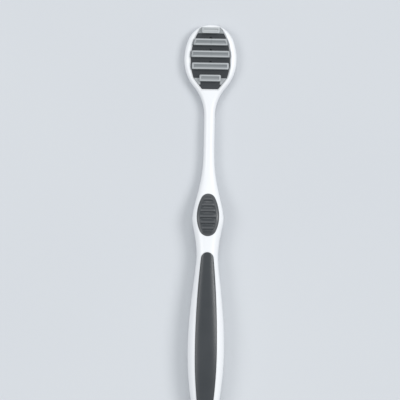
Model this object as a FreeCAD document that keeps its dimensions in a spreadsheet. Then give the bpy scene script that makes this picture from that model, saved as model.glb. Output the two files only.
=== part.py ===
import FreeCAD, Part
import math
import os
import re

import Sketcher

# Tongue cleaner: a white moulded handle with soft inlays and five soft scraper ribs.
# Frame: the tool lies on its back. +Y runs from the grip to the head, +Z out of the ribbed face.
# Lengths are millimetres. Places along the handle are measured from its tip, thumb rest or end.

doc = FreeCAD.newDocument("tongue_cleaner")
sheet = doc.addObject("Spreadsheet::Sheet", "Sizes")
Vector = FreeCAD.Vector

# Driving dimensions
sizes = {
    "length": 195.0,
    "corner_share": 0.32,
    "end_round_share": 0.8,
    "fit_gap": 0.05,
    # oval head
    "head_width": 24.8,
    "head_thick": 5.5,
    "head_tip_share": 0.46,
    "head_cheek_radius": 20.0,
    "head_wide_from_tip": 16.6,
    # places along the handle, and how soon its width turns between two of them
    "neck_top_from_tip": 43.2,
    "neck_from_tip": 54.7,
    "thumb_from_tip": 92.65,
    "waist_below_thumb": 17.4,
    "belly_share": 0.521,
    "neck_skew": 1.0,
    "thumb_skew": 1.7,
    "waist_skew": 0.72,
    "belly_skew": 0.74,
    "end_power": 1.95,
    # recess in the head: its rim, and how far it draws in from its widest place
    "recess_rim": 3.05,
    "recess_top_inset": 4.85,
    "recess_top_from_tip": 1.3,
    "recess_shoulder_inset": 1.4,
    "recess_shoulder_from_tip": 25.3,
    "recess_bottom_inset": 5.5,
    "recess_bottom_from_tip": 30.6,
    "recess_depth": 2.7,
    "recess_lip_angle": 35.0,
    # soft pad in the head and the scraper ribs on it
    "pad_drop": 0.9,
    "first_rib_from_tip": 2.65,
    "rib_pitch": 5.69,
    "rib_width": 3.1,
    "rib_rise": 2.6,
    "rib_seat": 0.7,
    "rib_groove_width": 1.9,
    "rib_groove_depth": 0.35,
    "rib_edge_round": 0.3,
    "rib_1_inset": 5.1,
    "rib_2_inset": 1.05,
    "rib_3_inset": 0.1,
    "rib_4_inset": 0.6,
    "rib_5_inset": 4.25,
    # low shoulders that carry the two short ribs out to the recess wall
    "shoulder_rise": 0.5,
    "shoulder_lap": 0.5,
    "rib_1_shoulder_drop": 0.0,
    "rib_5_shoulder_drop": 1.5,
    # soft oval on the thumb rest, with a raised field of cross ribs
    "thumb_pad_width": 10.6,
    "thumb_pad_top_above_thumb": 12.55,
    "thumb_pad_bottom_below_thumb": 7.55,
    "thumb_pad_wide_above_thumb": 1.6,
    "thumb_pad_top_radius": 3.6,
    "thumb_pad_bottom_radius": 4.2,
    "thumb_pad_depth": 2.6,
    "thumb_pad_proud": 0.2,
    "thumb_field_margin": 1.2,
    "thumb_field_rise": 0.5,
    "thumb_groove_pitch": 2.75,
    "thumb_groove_width": 1.0,
    # long soft inlay on the grip
    "grip_inlay_width": 10.4,
    "grip_inlay_top_above_waist": 2.3,
    "grip_inlay_bottom_from_end": 3.6,
    "grip_inlay_top_radius": 3.0,
    "grip_inlay_bottom_radius": 2.5,
    "grip_inlay_depth": 3.6,
    "grip_inlay_proud": 0.35,
    # keys that lock each soft piece in the handle
    "key_length": 3.0,
    "key_width": 2.4,
    "key_depth": 1.3,
    "head_key_spacing": 11.4,
    "grip_key_share": 0.26,
}

# Cross sections of the handle: width, thickness, and height of the back above the table
sections = {
    "neck": (5.1, 5.4, 0.4),
    "thumb": (14.8, 8.8, 2.2),
    "waist": (10.15, 9.0, 1.6),
    "belly": (17.3, 13.2, 0.0),
    "end": (6.5, 6.2, 2.9),
}
for station, (width, thick, lift) in sections.items():
    sizes[station + "_width"] = width
    sizes[station + "_thick"] = thick
    sizes[station + "_lift"] = lift

# Places and radii worked out from the driving dimensions
derived = {
    "tip_y": "length / 2",
    "end_y": "-length / 2",
    "head_wide_y": "tip_y - head_wide_from_tip",
    "head_tip_radius": "head_width * head_tip_share",
    "neck_top_y": "tip_y - neck_top_from_tip",
    "neck_y": "tip_y - neck_from_tip",
    "thumb_y": "tip_y - thumb_from_tip",
    "waist_y": "thumb_y - waist_below_thumb",
    "belly_y": "waist_y + (end_y - waist_y) * belly_share",
    "neck_top_width": "neck_width",
    "neck_top_thick": "head_thick",
    "neck_top_lift": "0",
    "no_gap": "0",
    "recess_width": "head_width - 2 * recess_rim",
    "recess_top_width": "recess_width - 2 * recess_top_inset",
    "recess_shoulder_width": "recess_width - 2 * recess_shoulder_inset",
    "recess_bottom_width": "recess_width - 2 * recess_bottom_inset",
    "recess_top_y": "tip_y - recess_top_from_tip",
    "recess_shoulder_y": "tip_y - recess_shoulder_from_tip",
    "recess_bottom_y": "tip_y - recess_bottom_from_tip",
    "recess_floor": "head_thick - recess_depth",
    "pad_thick": "recess_depth - pad_drop",
    "pad_top": "head_thick - pad_drop",
    "rib_base": "pad_top - rib_seat",
    "rib_top": "pad_top + rib_rise",
    "rib_groove_radius": "rib_groove_width ^ 2 / (8 * rib_groove_depth) + rib_groove_depth / 2",
    "thumb_pad_top_y": "thumb_y + thumb_pad_top_above_thumb",
    "thumb_pad_wide_y": "thumb_y + thumb_pad_wide_above_thumb",
    "thumb_pad_bottom_y": "thumb_y - thumb_pad_bottom_below_thumb",
    "thumb_pad_middle_y": "(thumb_pad_top_y + thumb_pad_bottom_y) / 2",
    "thumb_floor": "thumb_lift + thumb_thick - thumb_pad_depth",
    "grip_inlay_top_y": "waist_y + grip_inlay_top_above_waist",
    "grip_inlay_wide_y": "belly_y",
    "grip_inlay_bottom_y": "end_y + grip_inlay_bottom_from_end",
    "grip_floor": "belly_lift + belly_thick - grip_inlay_depth",
    "grip_key_spacing": "(grip_inlay_top_y - grip_inlay_bottom_y) * grip_key_share",
}
rib_numbers = range(1, 6)
for number in rib_numbers:
    derived[f"rib_{number}_y"] = f"tip_y - first_rib_from_tip - {number - 1} * rib_pitch"
    derived[f"rib_{number}_length"] = f"recess_width - 2 * rib_{number}_inset"

# Evenly spread cuts across the handle. Each measure goes over from one named section to the next,
# slowly at both ends and sooner or later by a skew, and it closes in ever faster at the end.
ease = "({share} ^ {name}_skew) ^ 2 * (3 - 2 * {share} ^ {name}_skew)"
laws = {"neck": ease, "thumb": ease, "waist": ease, "belly": ease, "end": "{share} ^ end_power"}
cut_count = 23
cuts = [f"cut_{number}" for number in range(1, cut_count + 1)]
for number, cut in enumerate(cuts):
    derived[cut + "_y"] = f"neck_top_y + (end_y - neck_top_y) * {number} / {cut_count - 1}"
    before = "neck_top"
    terms = {measure: [f"neck_top_{measure}"] for measure in ("width", "thick", "lift")}
    for name, law in laws.items():
        share, blend = f"{cut}_{name}_share", f"{cut}_{name}_blend"
        derived[share] = f"min(1; max(0; ({cut}_y - {before}_y) / ({name}_y - {before}_y)))"
        derived[blend] = law.format(share=share, name=name)
        for measure, parts in terms.items():
            parts.append(f"({name}_{measure} - {before}_{measure}) * {blend}")
        before = name
    for measure, parts in terms.items():
        derived[f"{cut}_{measure}"] = " + ".join(parts)
    derived[cut + "_corner"] = f"corner_share * min({cut}_width; {cut}_thick)"
derived["head_round"] = f"{cuts[0]}_corner"
derived["end_round"] = f"{cuts[-1]}_corner * end_round_share"

for column, table, mark in (("A", sizes, ""), ("D", derived, "=")):
    for row, (alias, content) in enumerate(table.items(), start=1):
        cell = f"{chr(ord(column) + 1)}{row}"
        sheet.set(f"{column}{row}", alias)
        sheet.set(cell, f"{mark}{content}")
        sheet.setAlias(cell, alias)
doc.recompute()


def size(alias):
    """Present value of a cell."""
    return float(getattr(sheet, alias))


def bind(target, path, formula):
    """Drive a property of an object by a formula of cell names."""
    target.setExpression(path, re.sub(r"\b[a-z]\w*", r"Sizes.\g<0>", formula))


# Sketch helpers

arcs_per_corner = 5
START, END, CENTRE = range(1, 4)
ORIGIN_POINT = (-1, START)
Y_AXIS = -2


def origin_plane(body, role):
    """The body's own origin plane with this role."""
    return next(feature for feature in body.Origin.OriginFeatures if feature.Role == role)


def sketch_in(body, name, role):
    """New sketch on an origin plane of a body."""
    sketch = body.newObject("Sketcher::SketchObject", name)
    sketch.AttachmentSupport = [(origin_plane(body, role), "")]
    sketch.MapMode = "FlatFace"
    return sketch


def plan_sketch(name, height):
    """New sketch seen from above, at a height over the table."""
    sketch = doc.addObject("Sketcher::SketchObject", name)
    bind(sketch, "Placement.Base.z", height)
    return sketch


def arc(centre, radius, start, end):
    """Counter-clockwise arc between two angles in degrees."""
    circle = Part.Circle(Vector(*centre, 0), Vector(0, 0, 1), radius)
    return Part.ArcOfCircle(circle, math.radians(start), math.radians(end))


def line(start, end):
    """Straight edge between two points."""
    return Part.LineSegment(Vector(*start, 0), Vector(*end, 0))


def rule(sketch, kind, *references):
    """Add a constraint without a formula."""
    sketch.addConstraint(Sketcher.Constraint(kind, *references))


def drive(sketch, kind, references, value, formula):
    """Add a constraint whose value follows a formula of cell names."""
    index = sketch.addConstraint(Sketcher.Constraint(kind, *references, value))
    bind(sketch, f"Constraints[{index}]", formula)


def place(sketch, edge, point, x=None, y=None):
    """Drive a point's signed distances from the sketch's origin."""
    spot = sketch.getPoint(edge, point)
    if x:
        drive(sketch, "DistanceX", (*ORIGIN_POINT, edge, point), spot.x, x)
    if y:
        drive(sketch, "DistanceY", (*ORIGIN_POINT, edge, point), spot.y, y)


def join_ends(sketch, kinds):
    """Join each edge's end to the next edge's start, the last to the first."""
    for edge, kind in enumerate(kinds):
        rule(sketch, kind, edge, END, (edge + 1) % len(kinds), START)


def level(sketch, edge, point):
    """Put an arc's centre level with one of its end points."""
    rule(sketch, "Horizontal", edge, CENTRE, edge, point)


# Handle blank: oval head plate with rounded edges, and the lofted neck, thumb rest and grip

handle_blank = doc.addObject("PartDesign::Body", "handle_blank")


def draw_head_outline(sketch):
    """Egg-shaped plate: tip arc, side and cheek arcs, and flares that run into the neck."""
    half, neck_half = size("head_width") / 2, size("neck_width") / 2
    tip, cheek = size("head_tip_radius"), size("head_cheek_radius")
    wide_y, neck_y = size("head_wide_y"), size("neck_top_y")
    tip_y = size("tip_y") - tip
    side = (half**2 + (tip_y - wide_y) ** 2 - tip**2) / (2 * (half - tip))
    reach = neck_half - half + cheek
    flare = (reach**2 + (wide_y - neck_y) ** 2 - cheek**2) / (2 * (cheek - reach))
    turn = math.degrees(math.atan2(tip_y - wide_y, side - half))
    swing = math.degrees(math.atan2(wide_y - neck_y, reach + flare))
    sketch.addGeometry(
        [
            arc((0, tip_y), tip, turn, 180 - turn),
            arc((side - half, wide_y), side, 180 - turn, 180),
            arc((cheek - half, wide_y), cheek, 180, 180 + swing),
            arc((-neck_half - flare, neck_y), flare, 0, swing),
            line((-neck_half, neck_y), (neck_half, neck_y)),
            arc((neck_half + flare, neck_y), flare, 180 - swing, 180),
            arc((half - cheek, wide_y), cheek, -swing, 0),
            arc((half - side, wide_y), side, 0, turn),
        ]
    )
    for first, first_end, second, second_end in (
        (0, END, 1, START),
        (1, END, 2, START),
        (2, END, 3, END),
        (5, START, 6, START),
        (6, END, 7, START),
        (7, END, 0, START),
    ):
        rule(sketch, "Tangent", first, first_end, second, second_end)
    rule(sketch, "Coincident", 3, START, 4, START)
    rule(sketch, "Coincident", 4, END, 5, END)
    rule(sketch, "PointOnObject", 0, CENTRE, Y_AXIS)
    drive(sketch, "Radius", (0,), tip, "head_tip_radius")
    place(sketch, 0, CENTRE, y="tip_y - head_tip_radius")
    for cheek_edge, wide_point, sign in ((2, START, "-"), (6, END, "")):
        place(sketch, cheek_edge, wide_point, x=f"{sign}head_width / 2", y="head_wide_y")
        level(sketch, cheek_edge, wide_point)
        drive(sketch, "Radius", (cheek_edge,), cheek, "head_cheek_radius")
    for flare_edge, neck_point, sign in ((3, START, "-"), (5, END, "")):
        place(sketch, flare_edge, neck_point, x=f"{sign}neck_width / 2", y="neck_top_y")
        level(sketch, flare_edge, neck_point)


def draw_cross_section(sketch, station):
    """Rounded rectangle of a station's width, thickness and lift, with several arcs to a corner."""
    half, low = size(station + "_width") / 2, size(station + "_lift")
    high, corner = low + size(station + "_thick"), size(station + "_corner")
    inner, inner_low, inner_high = half - corner, low + corner, high - corner
    flats = [
        line((-inner, low), (inner, low)),
        line((half, inner_low), (half, inner_high)),
        line((inner, high), (-inner, high)),
        line((-half, inner_high), (-half, inner_low)),
    ]
    centres = [(inner, inner_low), (inner, inner_high), (-inner, inner_high), (-inner, inner_low)]
    sweep = 90 / arcs_per_corner
    for quarter, (flat, centre) in enumerate(zip(flats, centres)):
        turns = [90 * (quarter - 1) + step * sweep for step in range(arcs_per_corner)]
        sketch.addGeometry([flat] + [arc(centre, corner, turn, turn + sweep) for turn in turns])
    side = arcs_per_corner + 1
    join_ends(sketch, ["Tangent"] * (4 * side))
    for quarter, kind in enumerate(("Horizontal", "Vertical", "Horizontal", "Vertical")):
        flat = quarter * side
        rule(sketch, kind, flat)
        for edge in range(flat + 1, flat + side):
            if edge > 1:
                rule(sketch, "Equal", 1, edge)
            if edge > flat + 1:
                rule(sketch, "Angle", edge, math.radians(sweep))
    drive(sketch, "Radius", (1,), corner, station + "_corner")
    place(sketch, side, START, x=f"{station}_width / 2")
    place(sketch, 3 * side, START, x=f"-{station}_width / 2")
    place(sketch, 0, START, y=station + "_lift")
    place(sketch, 2 * side, START, y=f"{station}_lift + {station}_thick")


def edges_where(shape, test):
    """Names of the edges whose vertices all pass a test."""
    return [
        f"Edge{index}"
        for index, edge in enumerate(shape.Edges, start=1)
        if all(test(vertex.Point) for vertex in edge.Vertexes)
    ]


def near(value, target):
    """True where two lengths agree to a micrometre."""
    return abs(value - target) < 1e-3


head_outline = sketch_in(handle_blank, "head_outline", "XY_Plane")
draw_head_outline(head_outline)
head_plate = handle_blank.newObject("PartDesign::Pad", "head_plate")
head_plate.Profile = head_outline
bind(head_plate, "Length", "head_thick")
doc.recompute()

rims = [
    name
    for face_z in (0, size("head_thick"))
    for name in edges_where(head_plate.Shape, lambda point, z=face_z: near(point.z, z))
]
neck_end = edges_where(head_plate.Shape, lambda point: near(point.y, size("neck_top_y")))
head_round = handle_blank.newObject("PartDesign::Fillet", "head_round")
head_round.Base = (head_plate, [name for name in rims if name not in neck_end])
bind(head_round, "Radius", "head_round")

stations = []
for station in cuts:
    section = sketch_in(handle_blank, station + "_section", "XZ_Plane")
    bind(section, "AttachmentOffset.Base.z", f"-{station}_y")
    draw_cross_section(section, station)
    stations.append(section)
grip_loft = handle_blank.newObject("PartDesign::AdditiveLoft", "grip_loft")
grip_loft.Profile = stations[0]
grip_loft.Sections = stations[1:]
doc.recompute()

end_rim = edges_where(grip_loft.Shape, lambda point: near(point.y, size("end_y")))
end_round = handle_blank.newObject("PartDesign::Fillet", "end_round")
end_round.Base = (grip_loft, end_rim)
bind(end_round, "Radius", "end_round")
doc.recompute()


# Outlines of the recesses that the soft pieces fill, seen from above


def draw_recess_outline(sketch, gap):
    """Head recess drawn in by a gap: flat ends, bowed sides, and slanted lower corners."""
    inward = size(gap)
    half, top_half = size("recess_width") / 2 - inward, size("recess_top_width") / 2 - inward
    shoulder_half = size("recess_shoulder_width") / 2 - inward
    bottom_half = size("recess_bottom_width") / 2 - inward
    wide_y, top_y = size("head_wide_y"), size("recess_top_y") - inward
    shoulder_y, bottom_y = size("recess_shoulder_y"), size("recess_bottom_y") + inward
    upper = side_radius(half, top_half, top_y - wide_y)
    lower = side_radius(half, shoulder_half, wide_y - shoulder_y)
    rise = math.degrees(math.asin((top_y - wide_y) / upper))
    dip = math.degrees(math.asin((wide_y - shoulder_y) / lower))
    sketch.addGeometry(
        [
            line((top_half, top_y), (-top_half, top_y)),
            arc((upper - half, wide_y), upper, 180 - rise, 180),
            arc((lower - half, wide_y), lower, 180, 180 + dip),
            line((-shoulder_half, shoulder_y), (-bottom_half, bottom_y)),
            line((-bottom_half, bottom_y), (bottom_half, bottom_y)),
            line((bottom_half, bottom_y), (shoulder_half, shoulder_y)),
            arc((half - lower, wide_y), lower, -dip, 0),
            arc((half - upper, wide_y), upper, 0, rise),
        ]
    )
    joints = ["Coincident"] * 8
    joints[1] = joints[6] = "Tangent"
    join_ends(sketch, joints)
    for sign, top, wide, shoulder, bottom in (
        ("-", (0, END), (2, START), (3, START), (4, START)),
        ("", (0, START), (6, END), (5, END), (4, END)),
    ):
        place(sketch, *top, x=f"{sign}(recess_top_width / 2 - {gap})", y=f"recess_top_y - {gap}")
        place(sketch, *wide, x=f"{sign}(recess_width / 2 - {gap})", y="head_wide_y")
        level(sketch, *wide)
        place(sketch, *shoulder, x=f"{sign}(recess_shoulder_width / 2 - {gap})", y="recess_shoulder_y")
        place(sketch, *bottom, x=f"{sign}(recess_bottom_width / 2 - {gap})", y=f"recess_bottom_y + {gap}")


def side_radius(half, end_half, run):
    """Radius of a bowed side that is upright at its widest and ends a run further on."""
    sag = half - end_half
    return (sag**2 + run**2) / (2 * sag)


def draw_lens_outline(sketch, piece, gap):
    """Long oval drawn in by a gap: round ends, and sides that are upright at the widest place."""
    inward = size(gap)
    half = size(piece + "_width") / 2 - inward
    top, bottom = size(piece + "_top_radius") - inward, size(piece + "_bottom_radius") - inward
    wide_y = size(piece + "_wide_y")
    top_y = size(piece + "_top_y") - inward - top
    bottom_y = size(piece + "_bottom_y") + inward + bottom
    upper = (half**2 + (top_y - wide_y) ** 2 - top**2) / (2 * (half - top))
    lower = (half**2 + (wide_y - bottom_y) ** 2 - bottom**2) / (2 * (half - bottom))
    rise = math.degrees(math.atan2(top_y - wide_y, upper - half))
    dip = math.degrees(math.atan2(wide_y - bottom_y, lower - half))
    sketch.addGeometry(
        [
            arc((0, top_y), top, rise, 180 - rise),
            arc((upper - half, wide_y), upper, 180 - rise, 180),
            arc((lower - half, wide_y), lower, 180, 180 + dip),
            arc((0, bottom_y), bottom, 180 + dip, 360 - dip),
            arc((half - lower, wide_y), lower, -dip, 0),
            arc((half - upper, wide_y), upper, 0, rise),
        ]
    )
    join_ends(sketch, ["Tangent"] * 6)
    for edge, radius, side, sign in ((0, top, "top", "-"), (3, bottom, "bottom", "+")):
        rule(sketch, "PointOnObject", edge, CENTRE, Y_AXIS)
        place(sketch, edge, CENTRE, y=f"{piece}_{side}_y {sign} {piece}_{side}_radius")
        drive(sketch, "Radius", (edge,), radius, f"{piece}_{side}_radius - {gap}")
    for edge, point, sign in ((2, START, "-"), (4, END, "")):
        place(sketch, edge, point, x=f"{sign}({piece}_width / 2 - {gap})", y=piece + "_wide_y")
        level(sketch, edge, point)


def recess_sketch(name, gap):
    """Outline of the head recess on its floor."""
    sketch = plan_sketch(name, "recess_floor")
    draw_recess_outline(sketch, gap)
    return sketch


def lens_sketch(name, piece, floor, gap):
    """Outline of a soft oval piece on the floor of its recess."""
    sketch = plan_sketch(name, floor)
    draw_lens_outline(sketch, piece, gap)
    return sketch


def prism(name, outline, height, angle=None):
    """Upright solid over an outline, with slanting walls where an angle is given."""
    solid = doc.addObject("Part::Extrusion", name)
    solid.Base = outline
    solid.DirMode = "Custom"
    solid.Dir = Vector(0, 0, 1)
    solid.Solid = True
    bind(solid, "LengthFwd", height)
    if angle:
        bind(solid, "TaperAngle", angle)
    return solid


def raised_copy(name, rise):
    """The handle blank lifted by a distance, whose top gives a soft piece its crown."""
    copy = doc.addObject("Part::Compound", name)
    copy.Links = [handle_blank]
    bind(copy, "Placement.Base.z", rise)
    return copy


def combine(kind, name, shapes):
    """Union or overlap of several shapes."""
    result = doc.addObject(kind, name)
    result.Shapes = shapes
    result.Refine = True
    return result


def cut_away(name, base, tool):
    """The base with the tool's space taken out."""
    result = doc.addObject("Part::Cut", name)
    result.Base = base
    result.Tool = tool
    result.Refine = True
    return result


def bar(name, length, width, height, y, z):
    """Block across the handle, centred on x = 0 and on its own y."""
    block = doc.addObject("Part::Box", name)
    bind(block, "Length", length)
    bind(block, "Width", width)
    bind(block, "Height", height)
    bind(block, "Placement.Base.x", f"-({length}) / 2")
    bind(block, "Placement.Base.y", f"{y} - ({width}) / 2")
    bind(block, "Placement.Base.z", z)
    return block


def keys_and_slots(piece, floor, spots):
    """Keys under a soft piece, and the blind slots in the handle that they fill."""
    keys, slots = [], []
    for number, spot in enumerate(spots, start=1):
        key = bar(
            f"{piece}_key_{number}", "key_length", "key_width", "key_depth", spot, f"{floor} - key_depth"
        )
        slot = bar(
            f"{piece}_slot_{number}",
            "key_length + 2 * fit_gap",
            "key_width + 2 * fit_gap",
            "key_depth + fit_gap",
            spot,
            f"{floor} - key_depth - fit_gap",
        )
        keys.append(key)
        slots.append(slot)
    return keys, slots


recess_outline = recess_sketch("recess_outline", "no_gap")
thumb_outline = lens_sketch("thumb_outline", "thumb_pad", "thumb_floor", "no_gap")
grip_outline = lens_sketch("grip_outline", "grip_inlay", "grip_floor", "no_gap")

head_keys, head_slots = keys_and_slots(
    "head",
    "recess_floor",
    ["head_wide_y + head_key_spacing / 2", "head_wide_y - head_key_spacing / 2"],
)
thumb_keys, thumb_slots = keys_and_slots("thumb", "thumb_floor", ["thumb_pad_wide_y"])
grip_keys, grip_slots = keys_and_slots(
    "grip",
    "grip_floor",
    ["belly_y + grip_key_spacing", "belly_y", "belly_y - grip_key_spacing"],
)

# Handle: the blank with its recesses, slots and the sloping lip round the head recess

recess_room = prism("recess_room", recess_outline, "head_thick")
recess_lip = prism("recess_lip", recess_outline, "2 * pad_drop", "recess_lip_angle")
bind(recess_lip, "Placement.Base.z", "pad_thick")
thumb_room = prism("thumb_room", thumb_outline, "thumb_thick")
grip_room = prism("grip_room", grip_outline, "belly_thick")
handle_rooms = combine(
    "Part::MultiFuse",
    "handle_rooms",
    [recess_room, recess_lip, thumb_room, grip_room, *head_slots, *thumb_slots, *grip_slots],
)
handle_body = cut_away("handle_body", handle_blank, handle_rooms)

# Head pad: soft bed in the recess, with a slot for each rib and for the short ribs' shoulders

short_ribs = (1, 5)


def shoulders(name, number, gap):
    """Two low bars from a short rib's ends out to the recess wall."""
    y = f"rib_{number}_y - rib_{number}_shoulder_drop"
    height = "rib_seat + shoulder_rise"
    span = bar(
        f"{name}_span_{number}", "recess_width", f"rib_width + 2 * {gap}", height, y, "rib_base"
    )
    middle = bar(
        f"{name}_middle_{number}",
        f"rib_{number}_length - 2 * shoulder_lap - 2 * {gap}",
        "2 * rib_width",
        height,
        y,
        "rib_base",
    )
    return cut_away(f"{name}_{number}", span, middle)


pad_outline = recess_sketch("pad_outline", "fit_gap")
pad_bed = prism("pad_bed", pad_outline, "pad_thick")
rib_slots = []
for number in rib_numbers:
    slot = bar(
        f"rib_slot_{number}",
        f"rib_{number}_length + 2 * fit_gap",
        "rib_width + 2 * fit_gap",
        "rib_rise",
        f"rib_{number}_y",
        "rib_base",
    )
    rib_slots.append(slot)
for number in short_ribs:
    rib_slots.append(shoulders("shoulder_slot", number, "fit_gap"))
pad_slots =combine("Part::MultiFuse", "pad_slots", rib_slots)
pad_on_keys = combine("Part::MultiFuse", "pad_on_keys", [pad_bed, *head_keys])
head_pad = cut_away("head_pad", pad_on_keys, pad_slots)

# Scraper ribs: bars with a hollowed top that leaves two wiping edges, ended on the recess wall


def draw_rib_profile(sketch, number):
    """Bar seen from its end: straight sides and base, and a shallow hollow along the top."""
    half, hollow = size("rib_width") / 2, size("rib_groove_width") / 2
    middle, radius = size(f"rib_{number}_y"), size("rib_groove_radius")
    low, high = size("rib_base"), size("rib_top")
    sag = math.degrees(math.asin(hollow / radius))
    centre = (middle, high + radius * math.cos(math.radians(sag)))
    sketch.addGeometry(
        [
            line((middle - half, low), (middle + half, low)),
            line((middle + half, low), (middle + half, high)),
            line((middle + half, high), (middle + hollow, high)),
            arc(centre, radius, 270 - sag, 270 + sag),
            line((middle - hollow, high), (middle - half, high)),
            line((middle - half, high), (middle - half, low)),
        ]
    )
    for first, first_end, second, second_end in (
        (0, END, 1, START),
        (1, END, 2, START),
        (2, END, 3, END),
        (3, START, 4, START),
        (4, END, 5, START),
        (5, END, 0, START),
    ):
        rule(sketch, "Coincident", first, first_end, second, second_end)
    for level_edge in (0, 2, 4):
        rule(sketch, "Horizontal", level_edge)
    for upright_edge in (1, 5):
        rule(sketch, "Vertical", upright_edge)
    place(sketch, 0, START, x=f"rib_{number}_y - rib_width / 2", y="rib_base")
    place(sketch, 1, END, x=f"rib_{number}_y + rib_width / 2", y="rib_top")
    place(sketch, 2, END, x=f"rib_{number}_y + rib_groove_width / 2")
    place(sketch, 4, START, x=f"rib_{number}_y - rib_groove_width / 2", y="rib_top")
    drive(sketch, "Radius", (3,), radius, "rib_groove_radius")


rib_room = prism("rib_room", pad_outline, "head_thick + rib_rise")
scraper_ribs = []
for number in rib_numbers:
    rib_bar = doc.addObject("PartDesign::Body", f"rib_bar_{number}")
    profile = sketch_in(rib_bar, f"rib_profile_{number}", "YZ_Plane")
    draw_rib_profile(profile, number)
    length = rib_bar.newObject("PartDesign::Pad", f"rib_run_{number}")
    length.Profile = profile
    length.Midplane = True
    bind(length, "Length", f"rib_{number}_length")
    doc.recompute()
    sides = [size(f"rib_{number}_y") + sign * size("rib_width") / 2 for sign in (-1, 1)]
    outer_edges = [
        name
        for side in sides
        for name in edges_where(
            length.Shape,
            lambda point, side=side: near(point.y, side) and near(point.z, size("rib_top")),
        )
    ]
    edge_round = rib_bar.newObject("PartDesign::Fillet", f"rib_edges_{number}")
    edge_round.Base = (length, outer_edges)
    bind(edge_round, "Radius", "rib_edge_round")
    whole_rib = rib_bar
    if number in short_ribs:
        sides_of_rib = shoulders("rib_shoulders", number, "no_gap")
        whole_rib = combine("Part::MultiFuse", f"whole_rib_{number}", [rib_bar, sides_of_rib])
    scraper_ribs.append(combine("Part::MultiCommon", f"scraper_rib_{number}", [whole_rib, rib_room]))

# Thumb pad: crowned oval with a raised field that cross grooves part into ribs

core_outline = lens_sketch("thumb_core_outline", "thumb_pad", "thumb_floor", "fit_gap")
thumb_core = combine(
    "Part::MultiCommon",
    "thumb_core",
    [prism("thumb_prism", core_outline, "thumb_thick"), raised_copy("thumb_crown", "thumb_pad_proud")],
)
field_outline = lens_sketch("thumb_field_outline", "thumb_pad", "thumb_floor", "thumb_field_margin")
thumb_field = combine(
    "Part::MultiCommon",
    "thumb_field",
    [
        prism("thumb_field_prism", field_outline, "thumb_thick"),
        raised_copy("thumb_field_crown", "thumb_pad_proud + thumb_field_rise"),
    ],
)
groove_count = 6
thumb_grooves = []
for number in range(groove_count):
    steps = number - (groove_count - 1) / 2
    groove = bar(
        f"thumb_groove_{number + 1}",
        "thumb_pad_width",
        "thumb_groove_width",
        "thumb_thick",
        f"thumb_pad_middle_y + {steps} * thumb_groove_pitch",
        "thumb_floor",
    )
    thumb_grooves.append(groove)
thumb_ribs = cut_away(
    "thumb_ribs",
    thumb_field,
    combine("Part::MultiFuse", "thumb_groove_set", thumb_grooves),
)
thumb_pad = combine("Part::MultiFuse", "thumb_pad", [thumb_core, thumb_ribs, *thumb_keys])

# Grip inlay: long crowned lens, a little proud of the handle

grip_core_outline = lens_sketch("grip_core_outline", "grip_inlay", "grip_floor", "fit_gap")
grip_core = combine(
    "Part::MultiCommon",
    "grip_core",
    [prism("grip_prism", grip_core_outline, "belly_thick"), raised_copy("grip_crown", "grip_inlay_proud")],
)
grip_inlay = combine("Part::MultiFuse", "grip_inlay", [grip_core, *grip_keys])

# Check every object, then write one file for each piece

doc.recompute()
failed = [item.Name for item in doc.Objects if {"Invalid", "Error"} & set(item.State)]
if failed:
    raise RuntimeError(f"objects that did not build: {failed}")

pieces = [handle_body, head_pad, *scraper_ribs, thumb_pad, grip_inlay]
for piece in pieces:
    shape = piece.Shape
    if shape.isNull() or not shape.isValid() or len(shape.Solids) != 1:
        raise RuntimeError(f"{piece.Label} is not one sound solid")

os.makedirs("parts", exist_ok=True)
for piece in pieces:
    piece.Shape.Solids[0].exportStep(f"parts/{piece.Label}.step")
    print(f"{piece.Label}: {piece.Shape.Volume:.1f} mm3")
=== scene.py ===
from math import radians

import bmesh
import bpy
import numpy as np
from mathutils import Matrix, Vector


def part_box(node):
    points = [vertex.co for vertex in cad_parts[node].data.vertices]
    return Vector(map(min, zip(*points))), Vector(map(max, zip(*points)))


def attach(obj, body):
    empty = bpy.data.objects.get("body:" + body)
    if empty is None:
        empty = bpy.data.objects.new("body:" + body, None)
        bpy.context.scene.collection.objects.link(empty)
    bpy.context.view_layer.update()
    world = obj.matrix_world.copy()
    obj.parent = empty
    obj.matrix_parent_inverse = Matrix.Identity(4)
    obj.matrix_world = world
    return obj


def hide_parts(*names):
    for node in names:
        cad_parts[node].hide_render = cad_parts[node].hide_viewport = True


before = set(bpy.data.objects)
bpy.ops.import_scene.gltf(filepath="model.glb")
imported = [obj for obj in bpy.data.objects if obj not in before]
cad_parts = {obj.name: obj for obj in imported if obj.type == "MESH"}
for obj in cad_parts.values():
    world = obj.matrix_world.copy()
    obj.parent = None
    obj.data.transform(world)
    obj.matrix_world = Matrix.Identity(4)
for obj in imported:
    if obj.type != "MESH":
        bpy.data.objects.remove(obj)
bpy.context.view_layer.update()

# The handle is one white hard-plastic moulding: an oval head, a slim neck, a thumb rest, a waist
# and a long swelling grip. It is moulded first, face up, in a two-part mould, with three hollows
# in its front that take the soft pieces afterwards.
MM = 0.001
handle_low, handle_high = (np.array(corner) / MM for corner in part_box("handle_body"))
tip_y = handle_high[1]
end_y = handle_low[1]
head_half = handle_high[0]
head_wide_y = tip_y - 16.6
head_top = 5.5
tip_radius = 0.92 * head_half
tip_centre_y = tip_y - tip_radius
tip_rim = 1.7
cheek_radius = 20.0
end_rim = 3.2
neck_top_y = tip_y - 43.2
neck_top_sizes = {"half": 2.55, "back": 0.0, "front": head_top}
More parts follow.
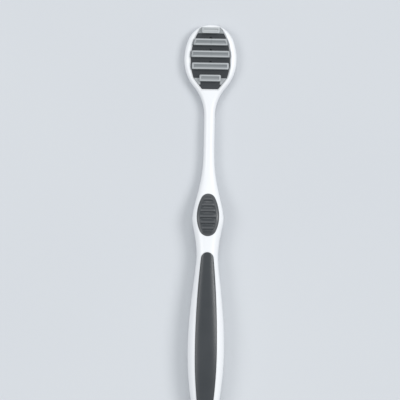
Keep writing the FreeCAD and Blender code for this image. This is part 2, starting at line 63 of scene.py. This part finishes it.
grip_sections = (
    {"y": tip_y - 54.7, "half": 2.55, "back": 0.4, "front": 5.8, "skew": 1.0},
    {"y": tip_y - 92.65, "half": 7.4, "back": 2.2, "front": 11.0, "skew": 1.7},
    {"y": tip_y - 110.05, "half": 5.08, "back": 1.6, "front": 10.6, "skew": 0.72},
    {"y": tip_y - 154.3, "half": 8.65, "back": 0.0, "front": 13.13, "skew": 0.74},
)
end_sizes = {"half": 3.25, "back": 2.9, "front": 9.1}
end_power = 1.95
edge_power = 2.4
neck_squareness = 2.3
head_squareness_gain = 0.68
grip_squareness_gain = 0.08
least_half = 1e-4


def grip_size(name, y):
    """A size of the neck and grip at y: the neck's, plus each next section's change times its ease,
    q squared times (3 - 2q), with q the share of the way there to the section's skew. The last
    change, to the end, grows with a power of the share."""
    size = np.full_like(y, neck_top_sizes[name])
    before_y, before = neck_top_y, neck_top_sizes
    for section in grip_sections:
        q = np.clip((y - before_y) / (section["y"] - before_y), 0, 1) ** section["skew"]
        size += (section[name] - before[name]) * q**2 * (3 - 2 * q)
        before_y, before = section["y"], section
    share = np.clip((y - before_y) / (end_y - before_y), 0, 1)
    return size + (end_sizes[name] - before[name]) * share**end_power


def head_half_width(y):
    """Half width of the head at y: a tip arc, a side arc that is tangent to it and upright at the
    widest place, a cheek arc below that, and a hollow arc that flares into the neck."""
    rise = tip_centre_y - head_wide_y
    side_radius = (head_half**2 + rise**2 - tip_radius**2) / (2 * (head_half - tip_radius))
    tip_from = tip_centre_y + tip_radius * rise / (side_radius - tip_radius)
    drop = head_wide_y - neck_top_y
    reach = neck_top_sizes["half"] - head_half + cheek_radius
    flare_radius = (reach**2 + drop**2 - cheek_radius**2) / (2 * (cheek_radius - reach))
    flare_to = head_wide_y - cheek_radius * drop / (cheek_radius + flare_radius)

    def bulge(radius, centre_y):
        """Height of a circle of that radius over its middle line, at y."""
        return np.sqrt(np.maximum(radius**2 - (y - centre_y) ** 2, 0))

    return np.select(
        [y > tip_from, y > head_wide_y, y > flare_to],
        [bulge(tip_radius, tip_centre_y),
         head_half - side_radius + bulge(side_radius, head_wide_y),
         head_half - cheek_radius + bulge(cheek_radius, head_wide_y)],
        neck_top_sizes["half"] + flare_radius - bulge(flare_radius, neck_top_y))


def rounded_off(y, rim_y, stop_y):
    """1 up to rim_y, then falling to 0 at stop_y along a quarter of a superellipse."""
    share = np.clip((y - rim_y) / (stop_y - rim_y), 0, 1)
    return (1 - share**edge_power) ** (1 / edge_power)


def handle_section(y):
    """Half width, middle height, half height and squareness of the handle's section at y. The
    section is the curve (x / half width)^squareness + (z / half height)^edge_power = 1, and its
    squareness grows with its half width."""
    in_head = y > neck_top_y
    tip = rounded_off(y, tip_y - tip_rim, tip_y)
    end = rounded_off(y, end_y + end_rim, end_y)
    half = np.where(in_head, head_half_width(y), grip_size("half", y) * end)
    back = grip_size("back", y)
    front = grip_size("front", y)
    gain = np.where(in_head, head_squareness_gain, grip_squareness_gain)
    squareness = neck_squareness + gain * (half - neck_top_sizes["half"])
    half_height = (front - back) / 2 * tip * end
    return np.maximum(half, least_half), (front + back) / 2, half_height, squareness


def front_height(x, y):
    """Height of the handle's front face at (x, y), on the section's curve."""
    half, middle, half_height, squareness = handle_section(y)
    inside = np.clip(np.abs(x) / half, 0, 1) ** squareness
    return middle + half_height * (1 - inside) ** (1 / edge_power)


# The head's hollow has a sloping lip, and the two on the grip are long and round-ended.
recess_top = tip_y - 1.3
recess_top_half = 4.5
recess_half = 9.35
recess_shoulder_y = tip_y - 25.3
recess_shoulder_half = 7.95
recess_bottom = tip_y - 30.6
recess_bottom_half = 3.85
recess_floor = 2.8
pad_top = 4.6
lip_run = 0.63


def recess_half_width(y, grow):
    """Half width of the head's recess at y, its outline moved out by grow: an arc above the widest
    place and one below it, both upright there, and a slanting line from shoulder to bottom."""
    def arc(end_half, rise):
        """An arc that is recess_half wide at the widest place and end_half wide at that rise."""
        radius = ((recess_half - end_half) ** 2 + rise**2) / (2 * (recess_half - end_half))
        return recess_half - radius + np.sqrt((radius + grow) ** 2 - (y - head_wide_y) ** 2)

    run = recess_shoulder_half - recess_bottom_half
    fall = recess_shoulder_y - recess_bottom
    slant = (recess_shoulder_half + (y - recess_shoulder_y) * run / fall
             + grow * np.hypot(run, fall) / fall)
    lower = np.minimum(arc(recess_shoulder_half, head_wide_y - recess_shoulder_y), slant)
    return np.where(y > head_wide_y, arc(recess_top_half, recess_top - head_wide_y), lower)


thumb_lens = {"bottom": tip_y - 100.2, "bottom_round": 4.2, "wide": tip_y - 91.05, "half": 5.3,
              "top": tip_y - 80.1, "top_round": 3.6, "floor": 8.4}
grip_lens = {"bottom": tip_y - 191.4, "bottom_round": 2.5, "wide": tip_y - 154.31, "half": 5.2,
             "top": tip_y - 107.75, "top_round": 3.0, "floor": 9.6}


def lens_half_width(y, lens, inset):
    """Half width of a long round-ended outline at y, moved in by inset: a flat arc to each side of
    the widest place, running into a small end arc."""
    half = lens["half"] - inset
    widths = []
    for end, sign in (("top", 1), ("bottom", -1)):
        end_round = lens[end + "_round"] - inset
        centre = lens[end] - sign * lens[end + "_round"]
        reach = abs(centre - lens["wide"])
        radius = (half**2 + reach**2 - end_round**2) / (2 * (half - end_round))
        turn = reach + end_round * reach / (radius - end_round)
        side = half - radius + np.sqrt(radius**2 - (y - lens["wide"]) ** 2)
        tip = np.sqrt(np.maximum(end_round**2 - (y - centre) ** 2, 0))
        widths.append(np.where(np.abs(y - lens["wide"]) > turn, tip, side))
    return np.where(y > lens["wide"], widths[0], widths[1])


def bunched(start, stop, count):
    """Places from start to stop that crowd towards both ends, as a cosine does."""
    return start + (stop - start) * (1 - np.cos(np.linspace(0, np.pi, count))) / 2


sliver_share = 0.01
round_count = 60


def handle_rows():
    """The rows of the handle from end to tip: y, the hollow's half width at its floor and at the
    front face, and the heights of its floor and of its wall. Rows outside a hollow have almost
    no width there, and a pair of rows at one y makes the end wall of a hollow."""
    rows = []

    def add(y, floor_half, face_half, floor, wall):
        """Rows at the places y, with the other values as arrays or as one number for all."""
        rows.append(np.stack(np.broadcast_arrays(y, floor_half, face_half, floor, wall)))

    def add_plain(start, stop, count):
        """Rows with no hollow: a sliver of the front face stands for its floor."""
        y = bunched(start, stop, count)
        sliver = sliver_share * handle_section(y)[0]
        add(y, sliver, sliver, front_height(sliver, y), front_height(sliver, y))

    def add_lens(lens):
        """Rows of a hollow with upright walls and a flat floor."""
        y = bunched(lens["bottom"], lens["top"], count=160)
        half = np.maximum(lens_half_width(y, lens, 0), sliver_share * handle_section(y)[0])
        add(y, half, half, lens["floor"], front_height(half, y))

    def add_recess():
        """Rows of the head's hollow: a ramp at its lower end, then a wall up to the pad's top and
        a sloping lip from there to the front face, which runs out where the face is lower."""
        share = np.linspace(1, 0, 5)
        y = recess_bottom - lip_run * share
        ramp = pad_top + (head_top - pad_top) * share
        half = recess_half_width(y, lip_run * share)
        add(y, half, recess_half_width(y, lip_run), ramp, ramp)
        y = bunched(recess_bottom, recess_top, count=130)
        half = recess_half_width(y, 0)
        edge = front_height(half, y)
        lip = lip_run * np.clip((edge - pad_top) / (head_top - pad_top), 0, 1)
        add(y, half, recess_half_width(y, lip), recess_floor, np.minimum(pad_top, edge))

    add_plain(end_y, grip_lens["bottom"], count=50)
    add_lens(grip_lens)
    add_plain(grip_lens["top"], thumb_lens["bottom"], count=20)
    add_lens(thumb_lens)
    add_plain(thumb_lens["top"], recess_bottom - lip_run, count=140)
    add_recess()
    add_plain(recess_top, tip_y, count=30)
    return np.concatenate(rows, axis=1)


def handle_surface():
    """Points of the handle, row by row. From the middle of the front, a row crosses the hollow's
    floor, climbs its wall, and follows the section's curve round the side to the middle of the
    back. Its other half is the mirror image."""
    y, floor_half, face_half, floor, wall = handle_rows()
    half, middle, half_height, squareness = (size[:, None] for size in handle_section(y))
    start = np.arcsin(np.clip(face_half[:, None] / half, 0, 1) ** (squareness / 2))
    angle = start + (np.pi - start) * np.linspace(0, 1, round_count)
    curve_x = half * np.abs(np.sin(angle)) ** (2 / squareness)
    height = np.sign(np.cos(angle)) * np.abs(np.cos(angle)) ** (2 / edge_power)
    curve_z = middle + half_height * height
    x = np.column_stack([0 * y, floor_half, floor_half, curve_x])
    z = np.column_stack([floor, floor, wall, curve_z])
    x = np.hstack([x, -x[:, -2:0:-1]])
    z = np.hstack([z, z[:, -2:0:-1]])
    return np.stack([x, np.broadcast_to(y[:, None], x.shape), z], axis=-1)


merge_distance = 0.0002


def closed_mesh(name, points, sharp_angle, **marks):
    """A closed piece from rows of points in millimetres, each row a closed loop: one quad between
    each two neighbours in neighbouring rows. Rows that shrink to a point or fold flat close the
    ends, once their doubled points are merged. Marks are values at the points for the material."""
    row_count, loop_count = points.shape[:2]
    index = np.arange(row_count * loop_count).reshape(row_count, loop_count)
    after = np.roll(index, -1, axis=1)
    quads = np.stack([index[:-1], after[:-1], after[1:], index[1:]], axis=-1).reshape(-1, 4)
    mesh = bpy.data.meshes.new(name)
    mesh.from_pydata(points.reshape(-1, 3) * MM, [], quads)
    for mark, values in marks.items():
        mesh.attributes.new(mark, "FLOAT", "POINT").data.foreach_set("value", values.ravel())
    shape = bmesh.new()
    shape.from_mesh(mesh)
    bmesh.ops.remove_doubles(shape, verts=shape.verts, dist=merge_distance * MM)
    bmesh.ops.recalc_face_normals(shape, faces=shape.faces)
    shape.to_mesh(mesh)
    shape.free()
    mesh.shade_smooth()
    mesh.set_sharp_from_angle(angle=radians(sharp_angle))
    piece = bpy.data.objects.new(name, mesh)
    bpy.context.collection.objects.link(piece)
    return piece


def grain_group():
    """Moulded grain: a fine noise for the skin's texture, and a broad one for its drift of tone."""
    group = bpy.data.node_groups.new("moulded_grain", "ShaderNodeTree")
    for name in ("Fine Scale", "Broad Scale"):
        group.interface.new_socket(name=name, in_out="INPUT", socket_type="NodeSocketFloat")
    for name in ("Grain", "Drift"):
        group.interface.new_socket(name=name, in_out="OUTPUT", socket_type="NodeSocketFloat")
    nodes, links = group.nodes, group.links
    given = nodes.new("NodeGroupInput")
    result = nodes.new("NodeGroupOutput")
    place = nodes.new("ShaderNodeTexCoord")
    for scale, output, detail in (("Fine Scale", "Grain", 3.0), ("Broad Scale", "Drift", 2.0)):
        noise = nodes.new("ShaderNodeTexNoise")
        noise.inputs["Detail"].default_value = detail
        links.new(place.outputs["Object"], noise.inputs["Vector"])
        links.new(given.outputs[scale], noise.inputs["Scale"])
        links.new(noise.outputs["Fac"], result.inputs[output])
    return group


moulded_grain = grain_group()


def moulded_material(name, tones, roughness, fine_scale, broad_scale, depth):
    """A moulded plastic: two close tones that drift into each other, roughness that follows the
    grain between two values, and the grain as a bump of the given depth in millimetres."""
    material = bpy.data.materials.new(name)
    material.use_nodes = True
    nodes, links = material.node_tree.nodes, material.node_tree.links
    shader = nodes["Principled BSDF"]
    grain = nodes.new("ShaderNodeGroup")
    grain.node_tree = moulded_grain
    grain.inputs["Fine Scale"].default_value = fine_scale
    grain.inputs["Broad Scale"].default_value = broad_scale
    tone = nodes.new("ShaderNodeMix")
    tone.name = "tone"
    tone.data_type = "RGBA"
    tone.inputs["A"].default_value = (*tones[0], 1)
    tone.inputs["B"].default_value = (*tones[1], 1)
    links.new(grain.outputs["Drift"], tone.inputs["Factor"])
    links.new(tone.outputs["Result"], shader.inputs["Base Color"])
    gloss = nodes.new("ShaderNodeMapRange")
    gloss.inputs["To Min"].default_value = roughness[0]
    gloss.inputs["To Max"].default_value = roughness[1]
    links.new(grain.outputs["Grain"], gloss.inputs["Value"])
    links.new(gloss.outputs["Result"], shader.inputs["Roughness"])
    bump = nodes.new("ShaderNodeBump")
    bump.inputs["Distance"].default_value = depth * MM
    links.new(grain.outputs["Grain"], bump.inputs["Height"])
    links.new(bump.outputs["Normal"], shader.inputs["Normal"])
    return material


white_plastic = moulded_material(
    "white_hard_plastic", tones=((0.85, 0.86, 0.88), (0.89, 0.90, 0.91)),
    roughness=(0.28, 0.31), fine_scale=2500, broad_scale=45, depth=0.0006)
handle = closed_mesh("handle", handle_surface(), sharp_angle=32)
handle.data.materials.append(white_plastic)
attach(handle, "root")
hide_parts("handle_body")

# The head pad is a dark-grey soft plastic, moulded into the recess of the head.
# Its top lies a little below the head's rim, and the ribs stand out of it.
fit_gap = 0.05
pad_edge_round = 0.35
gate_mark_radius = 0.55
gate_mark_depth = 0.8
gate_mark_ys = [tip_y - 6.55, tip_y - 12.25, tip_y - 17.95]
pad_points_across = 121


def pad_surface():
    """Points of the head pad: rows along the recess, each with the same places across on top and
    underneath. The top falls off round the edge as a quarter circle of the distance to the
    outline, each gate mark is a small round dimple, and the first and the last row are folded
    flat onto the underside."""
    bottom, top = recess_bottom + fit_gap, recess_top - fit_gap
    y = np.concatenate([[bottom], bunched(bottom, top, count=240), [top]])[:, None]
    half = recess_half_width(y, -fit_gap)
    x = half * np.linspace(-1, 1, pad_points_across)
    inset = np.minimum(half - np.abs(x), np.minimum(y - bottom, top - y))
    fall = 1 - np.clip(inset / pad_edge_round, 0, 1)
    under = np.full_like(x, recess_floor + fit_gap)
    upper = pad_top - pad_edge_round * (1 - np.sqrt(1 - fall**2))
    for mark_y in gate_mark_ys:
        away = np.hypot(x, y - mark_y) / gate_mark_radius
        upper = upper - gate_mark_depth * np.exp(-away**4)
    upper[[0, -1]] = under[[0, -1]]
    y = np.broadcast_to(y, x.shape)
    return np.stack([np.hstack([x, x[:, ::-1]]), np.hstack([y, y]),
                     np.hstack([upper, under])], axis=-1)


dark_plastic = moulded_material(
    "dark_soft_plastic", tones=((0.033, 0.038, 0.043), (0.046, 0.051, 0.056)),
    roughness=(0.27, 0.39), fine_scale=1600, broad_scale=120, depth=0.03)
head_pad = closed_mesh("head_pad_skin", pad_surface(), sharp_angle=50)
head_pad.data.materials.append(dark_plastic)
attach(head_pad, "root")
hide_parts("head_pad")

# Five ribs of a lighter soft plastic stand across the pad and do the scraping, and each one has a
# rounded lip all round its dished top. They are moulded in last, through the pad. The two short
# ones run out to the recess wall on low shoulders.
first_rib_y = tip_y - 2.65
rib_pitch = 5.69
rib_half_width = 1.55
rib_half_lengths = {1: 4.25, 2: 8.3, 3: 9.25, 4: 8.75, 5: 5.1}
rib_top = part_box("scraper_rib_3")[1].z / MM
rib_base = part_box("scraper_rib_3")[0].z / MM
lip_width = 0.9
lip_round = 0.28
dish_depth = 0.5
rib_corner = 0.6
rib_end_run = 1.5
rib_end_fall = 0.5
flow_mark_depths = {1: 0.0, 2: 0.3, 3: 0.2, 4: 0.0, 5: 0.0}
flow_mark_width = 0.3
shoulder_drops = {1: 0.0, 5: 1.5}
shoulder_top = pad_top + 0.5
shoulder_lap = 0.5
shoulder_round = 0.25
shoulder_least = 0.01
rib_sharp_angle = 60

# How much of a painted highlight on the lips shows, a pale tone that stands in for light on their
# edges: on the sides, at the lip's outer edge, on each rib's lip and dish (less on the dish, as
# painted shade), how much of that fades at its ends, and on the shoulders.
rib_side_highlight = 0.6
rib_edge_highlight = 0.8
rib_lip_highlights = {1: 1.0, 2: 0.8, 3: 0.8, 4: 0.8, 5: 0.8}
rib_dish_highlights = {1: 1.0, 2: 0.12, 3: 0.12, 4: 0.08, 5: 0.25}
rib_end_highlight_fade = {1: 0.0, 2: 0.6, 3: 0.6, 4: 0.0, 5: 0.0}
shoulder_pale_share = 0.7

# Points on each corner of a rib, on each curve of its profile and on each stretch of a long side.
corner_count = 24
profile_count = 7
side_count = 9


def rib_y(number):
    """Place of a rib's middle along the handle."""
    return first_rib_y - (number - 1) * rib_pitch


def rib_profile(number, half_width):
    """The profile of a rib from its foot over the lip to its middle: how far in from the outline
    and how high over the top each place is, and its share of the painted highlight on the lip.
    The lip is a quarter circle up and another one down, and the dish falls along a quarter sine."""
    turn = np.linspace(0, np.pi / 2, profile_count)
    roll_in = lip_round * (1 - np.cos(turn))
    roll_up = lip_round * (np.sin(turn) - 1)
    dish = np.linspace(0, 1, profile_count)[1:]
    dish_fall = (dish_depth - lip_round) * np.sin(dish * np.pi / 2)
    inset = np.concatenate([[0], roll_in, lip_width - roll_in[::-1],
                            lip_width + (half_width - lip_width) * dish])
    height = np.concatenate([[rib_base - rib_top], roll_up, roll_up[::-1], -lip_round - dish_fall])
    lip_highlight_share = np.concatenate([[rib_side_highlight], np.linspace(rib_edge_highlight, 1, profile_count),
                             np.linspace(1, rib_side_highlight, profile_count)])
    lip = np.concatenate([rib_lip_highlights[number] * lip_highlight_share, rib_dish_highlights[number] + 0 * dish])
    return inset[:, None], height[:, None], lip[:, None]


def with_sides(corners, side):
    """Rings with points along their long sides: each side's go between its two corners' points,
    and the second side is the first one turned round."""
    first, second_and_third, fourth = np.split(corners, [corner_count, 3 * corner_count], axis=1)
    return np.hstack([first, side, second_and_third, -side, fourth])


def rib_surface(number):
    """Points of one rib, and each one's share of the painted highlight on the lip. Rings of a
    rounded rectangle are moved in by the profile. The first ring is a point under the rib, the last
    one folds onto its middle line, and the recess's outline trims the ends. The top falls at each
    end as a parabola, and the flow mark is a dip across the middle, a bell curve."""
    bottom = rib_y(number) - rib_half_width
    top = min(rib_y(number) + rib_half_width, recess_top - fit_gap)
    middle = (bottom + top) / 2
    full_half = (top - bottom) / 2
    inset, height, lip = rib_profile(number, full_half)
    ring = (np.arange(4 * corner_count) + 0.5) / (4 * corner_count) * 2 * np.pi
    corner = np.maximum(rib_corner - inset, 0)
    half_length = rib_half_lengths[number] - inset
    half_width = full_half - inset
    x = np.sign(np.cos(ring)) * (half_length - corner) + corner * np.cos(ring)
    y = np.sign(np.sin(ring)) * (half_width - corner) + corner * np.sin(ring)
    end_x = half_length - corner - rib_end_run * np.linspace(0, 1, side_count + 1)[1:]
    flow_x = np.broadcast_to(flow_mark_width * np.linspace(2, -2, side_count), end_x.shape)
    side_x = np.hstack([end_x, flow_x, -end_x[:, ::-1]])
    side_y = half_width + 0 * side_x
    x = with_sides(x, side_x)
    y = with_sides(y, side_y) + middle
    room = recess_half_width(y, -2 * fit_gap) - inset
    x = np.clip(x, -room, room)
    end = np.clip(1 - (rib_half_lengths[number] - np.abs(x)) / rib_end_run, 0, 1)
    dip = rib_end_fall * end**2 + flow_mark_depths[number] * np.exp(-(x / flow_mark_width) ** 2)
    z = np.maximum(rib_top + height - dip, rib_base)
    rings = np.stack([x, y, z], axis=-1)
    floor = np.full_like(rings[:1], (0, middle, rib_base))
    # The painted highlight on the lip fades towards the rib's ends.
    lip = lip * (1 - rib_end_highlight_fade[number] * end)
    return np.concatenate([floor, rings]), np.concatenate([lip[:1], lip])


def shoulder_surface(number, side):
    """Points of a shoulder: rows along the handle, each from inside the rib's end to the recess
    wall, with a rounded edge on top. The first and the last row are folded flat."""
    middle = rib_y(number) - shoulder_drops[number]
    bottom = middle - rib_half_width
    top = min(middle + rib_half_width, recess_top - fit_gap)
    y = np.concatenate([[bottom], bunched(bottom, top, count=24), [top]])[:, None]
    inner = rib_half_lengths[number] - shoulder_lap
    outer = np.maximum(recess_half_width(y, -2 * fit_gap), inner + shoulder_least)
    x = inner + (outer - inner) * bunched(0, 1, count=16)
    inset = np.minimum(np.minimum(outer - x, x - inner), np.minimum(y - bottom, top - y))
    fall = 1 - np.clip(inset / shoulder_round, 0, 1)
    under = np.full_like(x, rib_base)
    upper = shoulder_top - shoulder_round * (1 - np.sqrt(1 - fall**2))
    upper[[0, -1]] = under[[0, -1]]
    y = np.broadcast_to(y, x.shape)
    return np.stack([side * np.hstack([x, x[:, ::-1]]), np.hstack([y, y]),
                     np.hstack([upper, under])], axis=-1)


def lighten_marked(material, mark, light_tone):
    """Mixes a lighter tone into a material's colour where the piece carries the mark."""
    nodes, links = material.node_tree.nodes, material.node_tree.links
    marked = nodes.new("ShaderNodeAttribute")
    marked.attribute_name = mark
    mix = nodes.new("ShaderNodeMix")
    mix.data_type = "RGBA"
    mix.inputs["B"].default_value = (*light_tone, 1)
    links.new(marked.outputs["Fac"], mix.inputs["Factor"])
    links.new(nodes["tone"].outputs["Result"], mix.inputs["A"])
    links.new(mix.outputs["Result"], nodes["Principled BSDF"].inputs["Base Color"])


grey_plastic = moulded_material(
    "grey_soft_plastic", tones=((0.165, 0.18, 0.19), (0.20, 0.215, 0.225)),
    roughness=(0.38, 0.52), fine_scale=1400, broad_scale=150, depth=0.02)
# The "lip" mark paints a highlight: a paler tone on the ribs' lips where light catches them, and less
# of it on the dishes, which leaves them as painted shade.
lighten_marked(grey_plastic, "lip", (0.48, 0.50, 0.51))


def place_rib_piece(piece, number):
    """Gives a piece of a rib its material and its place in the frame."""
    piece.data.materials.append(grey_plastic)
    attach(piece, "root")
    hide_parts(f"scraper_rib_{number}")


for number in rib_half_lengths:
    rib_points, rib_highlight = rib_surface(number)
    rib = closed_mesh(f"rib_{number}", rib_points, rib_sharp_angle, lip=rib_highlight)
    place_rib_piece(rib, number)
for number in shoulder_drops:
    for side, word in ((-1, "left"), (1, "right")):
        shoulder_points = shoulder_surface(number, side)
        # The shoulders carry the same painted lip mark, which makes them paler all over.
        shoulder_pale_marks = np.full(shoulder_points.shape[:2], shoulder_pale_share)
        shoulder = closed_mesh(f"rib_{number}_shoulder_{word}", shoulder_points,
                               rib_sharp_angle, lip=shoulder_pale_marks)
        place_rib_piece(shoulder, number)

# The thumb pad is an oval of the same dark soft plastic, moulded into the thumb rest.
# A raised field of cross bars on it stops the thumb from slipping.
thumb_proud = 0.2
bar_pitch = 2.75
bars_middle = (thumb_lens["top"] + thumb_lens["bottom"]) / 2
bar_rise = 0.5
bar_margin = 1.2
bar_roundness = 2.4
# A painted highlight on the thumb pad: a pale band on each bar's lower flank, and an even share on
# the margin.
highlight_band = {"place": 0.72, "width": 0.15, "depth": 0.95}
margin_highlight = 0.5
field_ease = 0.5
thumb_edge = {"run": 0.8, "fall": 0.08}
inlay_points_across = 81
inlay_least = 1e-3


def inlay_surface(lens, proud, edge, row_count, relief):
    """Points of a soft inlay: rows along its outline, each with the same places across on top and
    underneath. The top follows the handle's front face, stands proud of it, falls off towards
    the edge as a parabola, and carries the relief, a height over y and the edge distance."""
    y = bunched(lens["bottom"] + fit_gap, lens["top"] - fit_gap, row_count)[:, None]
    half = np.maximum(lens_half_width(y, lens, fit_gap), inlay_least)
    x = half * np.sin(np.linspace(-np.pi / 2, np.pi / 2, inlay_points_across))
    y = np.broadcast_to(y, x.shape)
    inset = half - np.abs(x)
    near_edge = 1 - np.clip(inset / edge["run"], 0, 1)
    upper = front_height(x, y) + proud - edge["fall"] * near_edge**2
    upper = upper + relief(y, inset)
    under = np.full_like(x, lens["floor"] + fit_gap)
    upper[[0, -1]] = under[[0, -1]]
    return np.stack([np.hstack([x, x[:, ::-1]]), np.hstack([y, y]),
                     np.hstack([upper, under])], axis=-1)


def bar_field(y, inset):
    """Share of the bars' field at a place: 0 on the margin, easing to 1 inside it by a cubic."""
    end_room = np.minimum(thumb_lens["top"] - y, y - thumb_lens["bottom"])
    share = np.clip((np.minimum(inset, end_room) - bar_margin) / field_ease, 0, 1)
    return share**2 * (3 - 2 * share)


def cross_bars(y, inset):
    """Height of the bars: the field's share of a rise that swells from one groove to the next along
    a superellipse."""
    place = (y - bars_middle) / bar_pitch
    to_groove = np.abs(place - np.floor(place) - 0.5) * 2
    bar = (1 - (1 - to_groove) ** bar_roundness) ** (1 / bar_roundness)
    return bar_rise * bar * bar_field(y, inset)


def rubbed_places(points):
    """Where a highlight is painted on the pad: in a band along the lower flank of each bar, a bell
    curve over the way down from the groove above it to the one below, and evenly on the margin."""
    x, y = points[..., 0], points[..., 1]
    field = bar_field(y, lens_half_width(y, thumb_lens, fit_gap) - np.abs(x))
    down_bar = 1 - ((y - bars_middle) / bar_pitch - 0.5) % 1
    band = np.exp(-((down_bar - highlight_band["place"]) / highlight_band["width"]) ** 2)
    return highlight_band["depth"] * field * band + margin_highlight * (1 - field)


thumb_points = inlay_surface(thumb_lens, thumb_proud, thumb_edge, row_count=420, relief=cross_bars)
# A paler tone is painted where the thumb pad carries the highlight mark, standing in for light on its
# bar flanks and margin.
lighten_marked(dark_plastic, "rubbed", (0.10, 0.105, 0.11))
thumb_pad = closed_mesh("thumb_pad_skin", thumb_points, sharp_angle=70,
                        rubbed=rubbed_places(thumb_points))
thumb_pad.data.materials.append(dark_plastic)
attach(thumb_pad, "root")
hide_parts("thumb_pad")

# The grip inlay is a long crowned strip of the dark soft plastic, moulded into the grip.
# It stands a little proud of the handle, so that the palm presses on it.
grip_proud = 0.35
grip_edge = {"run": 0.8, "fall": 0.06}


def smooth_top(y, inset):
    """No relief: zero all over."""
    return np.zeros_like(inset)


grip_points = inlay_surface(grip_lens, grip_proud, grip_edge, row_count=300, relief=smooth_top)
grip_inlay = closed_mesh("grip_inlay_skin", grip_points, sharp_angle=70)
grip_inlay.data.materials.append(dark_plastic)
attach(grip_inlay, "root")
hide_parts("grip_inlay")

# The tool lies on its back on a plain pale studio table, under a wide soft light from the right,
# weaker ones from the left and from beyond the head, and a pale sky. The camera looks straight
# down on it.
table_size = 10.0
table_drop = 0.05
sky_tone = (0.92, 0.96, 1.0)
sky_strength = 0.58
table_mesh = bpy.data.meshes.new("table")
table_corners = np.array([[-1, -1, 0], [1, -1, 0], [1, 1, 0], [-1, 1, 0]]) * table_size / 2
table_mesh.from_pydata(table_corners - [0, 0, table_drop * MM], [], [[0, 1, 2, 3]])
table = bpy.data.objects.new("table", table_mesh)
bpy.context.collection.objects.link(table)
table.data.materials.append(moulded_material(
    "pale_table", tones=((0.60, 0.62, 0.65), (0.64, 0.66, 0.68)), roughness=(0.6, 0.75),
    fine_scale=300, broad_scale=6, depth=0.02))

world = bpy.data.worlds.new("studio")
world.use_nodes = True
sky = world.node_tree.nodes["Background"]
sky.inputs["Color"].default_value = (*sky_tone, 1)
sky.inputs["Strength"].default_value = sky_strength
bpy.context.scene.world = world
bpy.context.scene.view_settings.view_transform = "Standard"


def soft_light(name, toward, spread, strength):
    """A wide even light from the direction toward, spread over a disc of that many degrees."""
    light = bpy.data.lights.new(name, "SUN")
    light.angle = radians(spread)
    light.energy = strength
    lamp = bpy.data.objects.new(name, light)
    lamp.rotation_euler = Vector(toward).to_track_quat("Z", "Y").to_euler()
    bpy.context.collection.objects.link(lamp)


soft_light("key_light", toward=(0.62, 0.15, 0.75), spread=26, strength=1.25)
soft_light("fill_light", toward=(-0.6, 0.0, 0.7), spread=28, strength=0.65)
soft_light("top_light", toward=(0.0, 0.75, 0.65), spread=20, strength=0.45)

# The camera's frame: its side in millimetres at the tool, its middle, and the turn that makes the
# tool lean in it.
frame_side = 189.6
frame_middle = (-3.88, 14.26, 5.0)
lean = 0.92
lens_length = 200.0
camera_data = bpy.data.cameras.new("camera")
camera_data.lens = lens_length
camera_data.sensor_width = 36.0
camera_distance = frame_side * lens_length / camera_data.sensor_width
camera = bpy.data.objects.new("camera", camera_data)
camera.location = (np.array(frame_middle) + [0, 0, camera_distance]) * MM
camera.rotation_euler = (0, 0, radians(lean))
bpy.context.collection.objects.link(camera)
bpy.context.scene.camera = camera
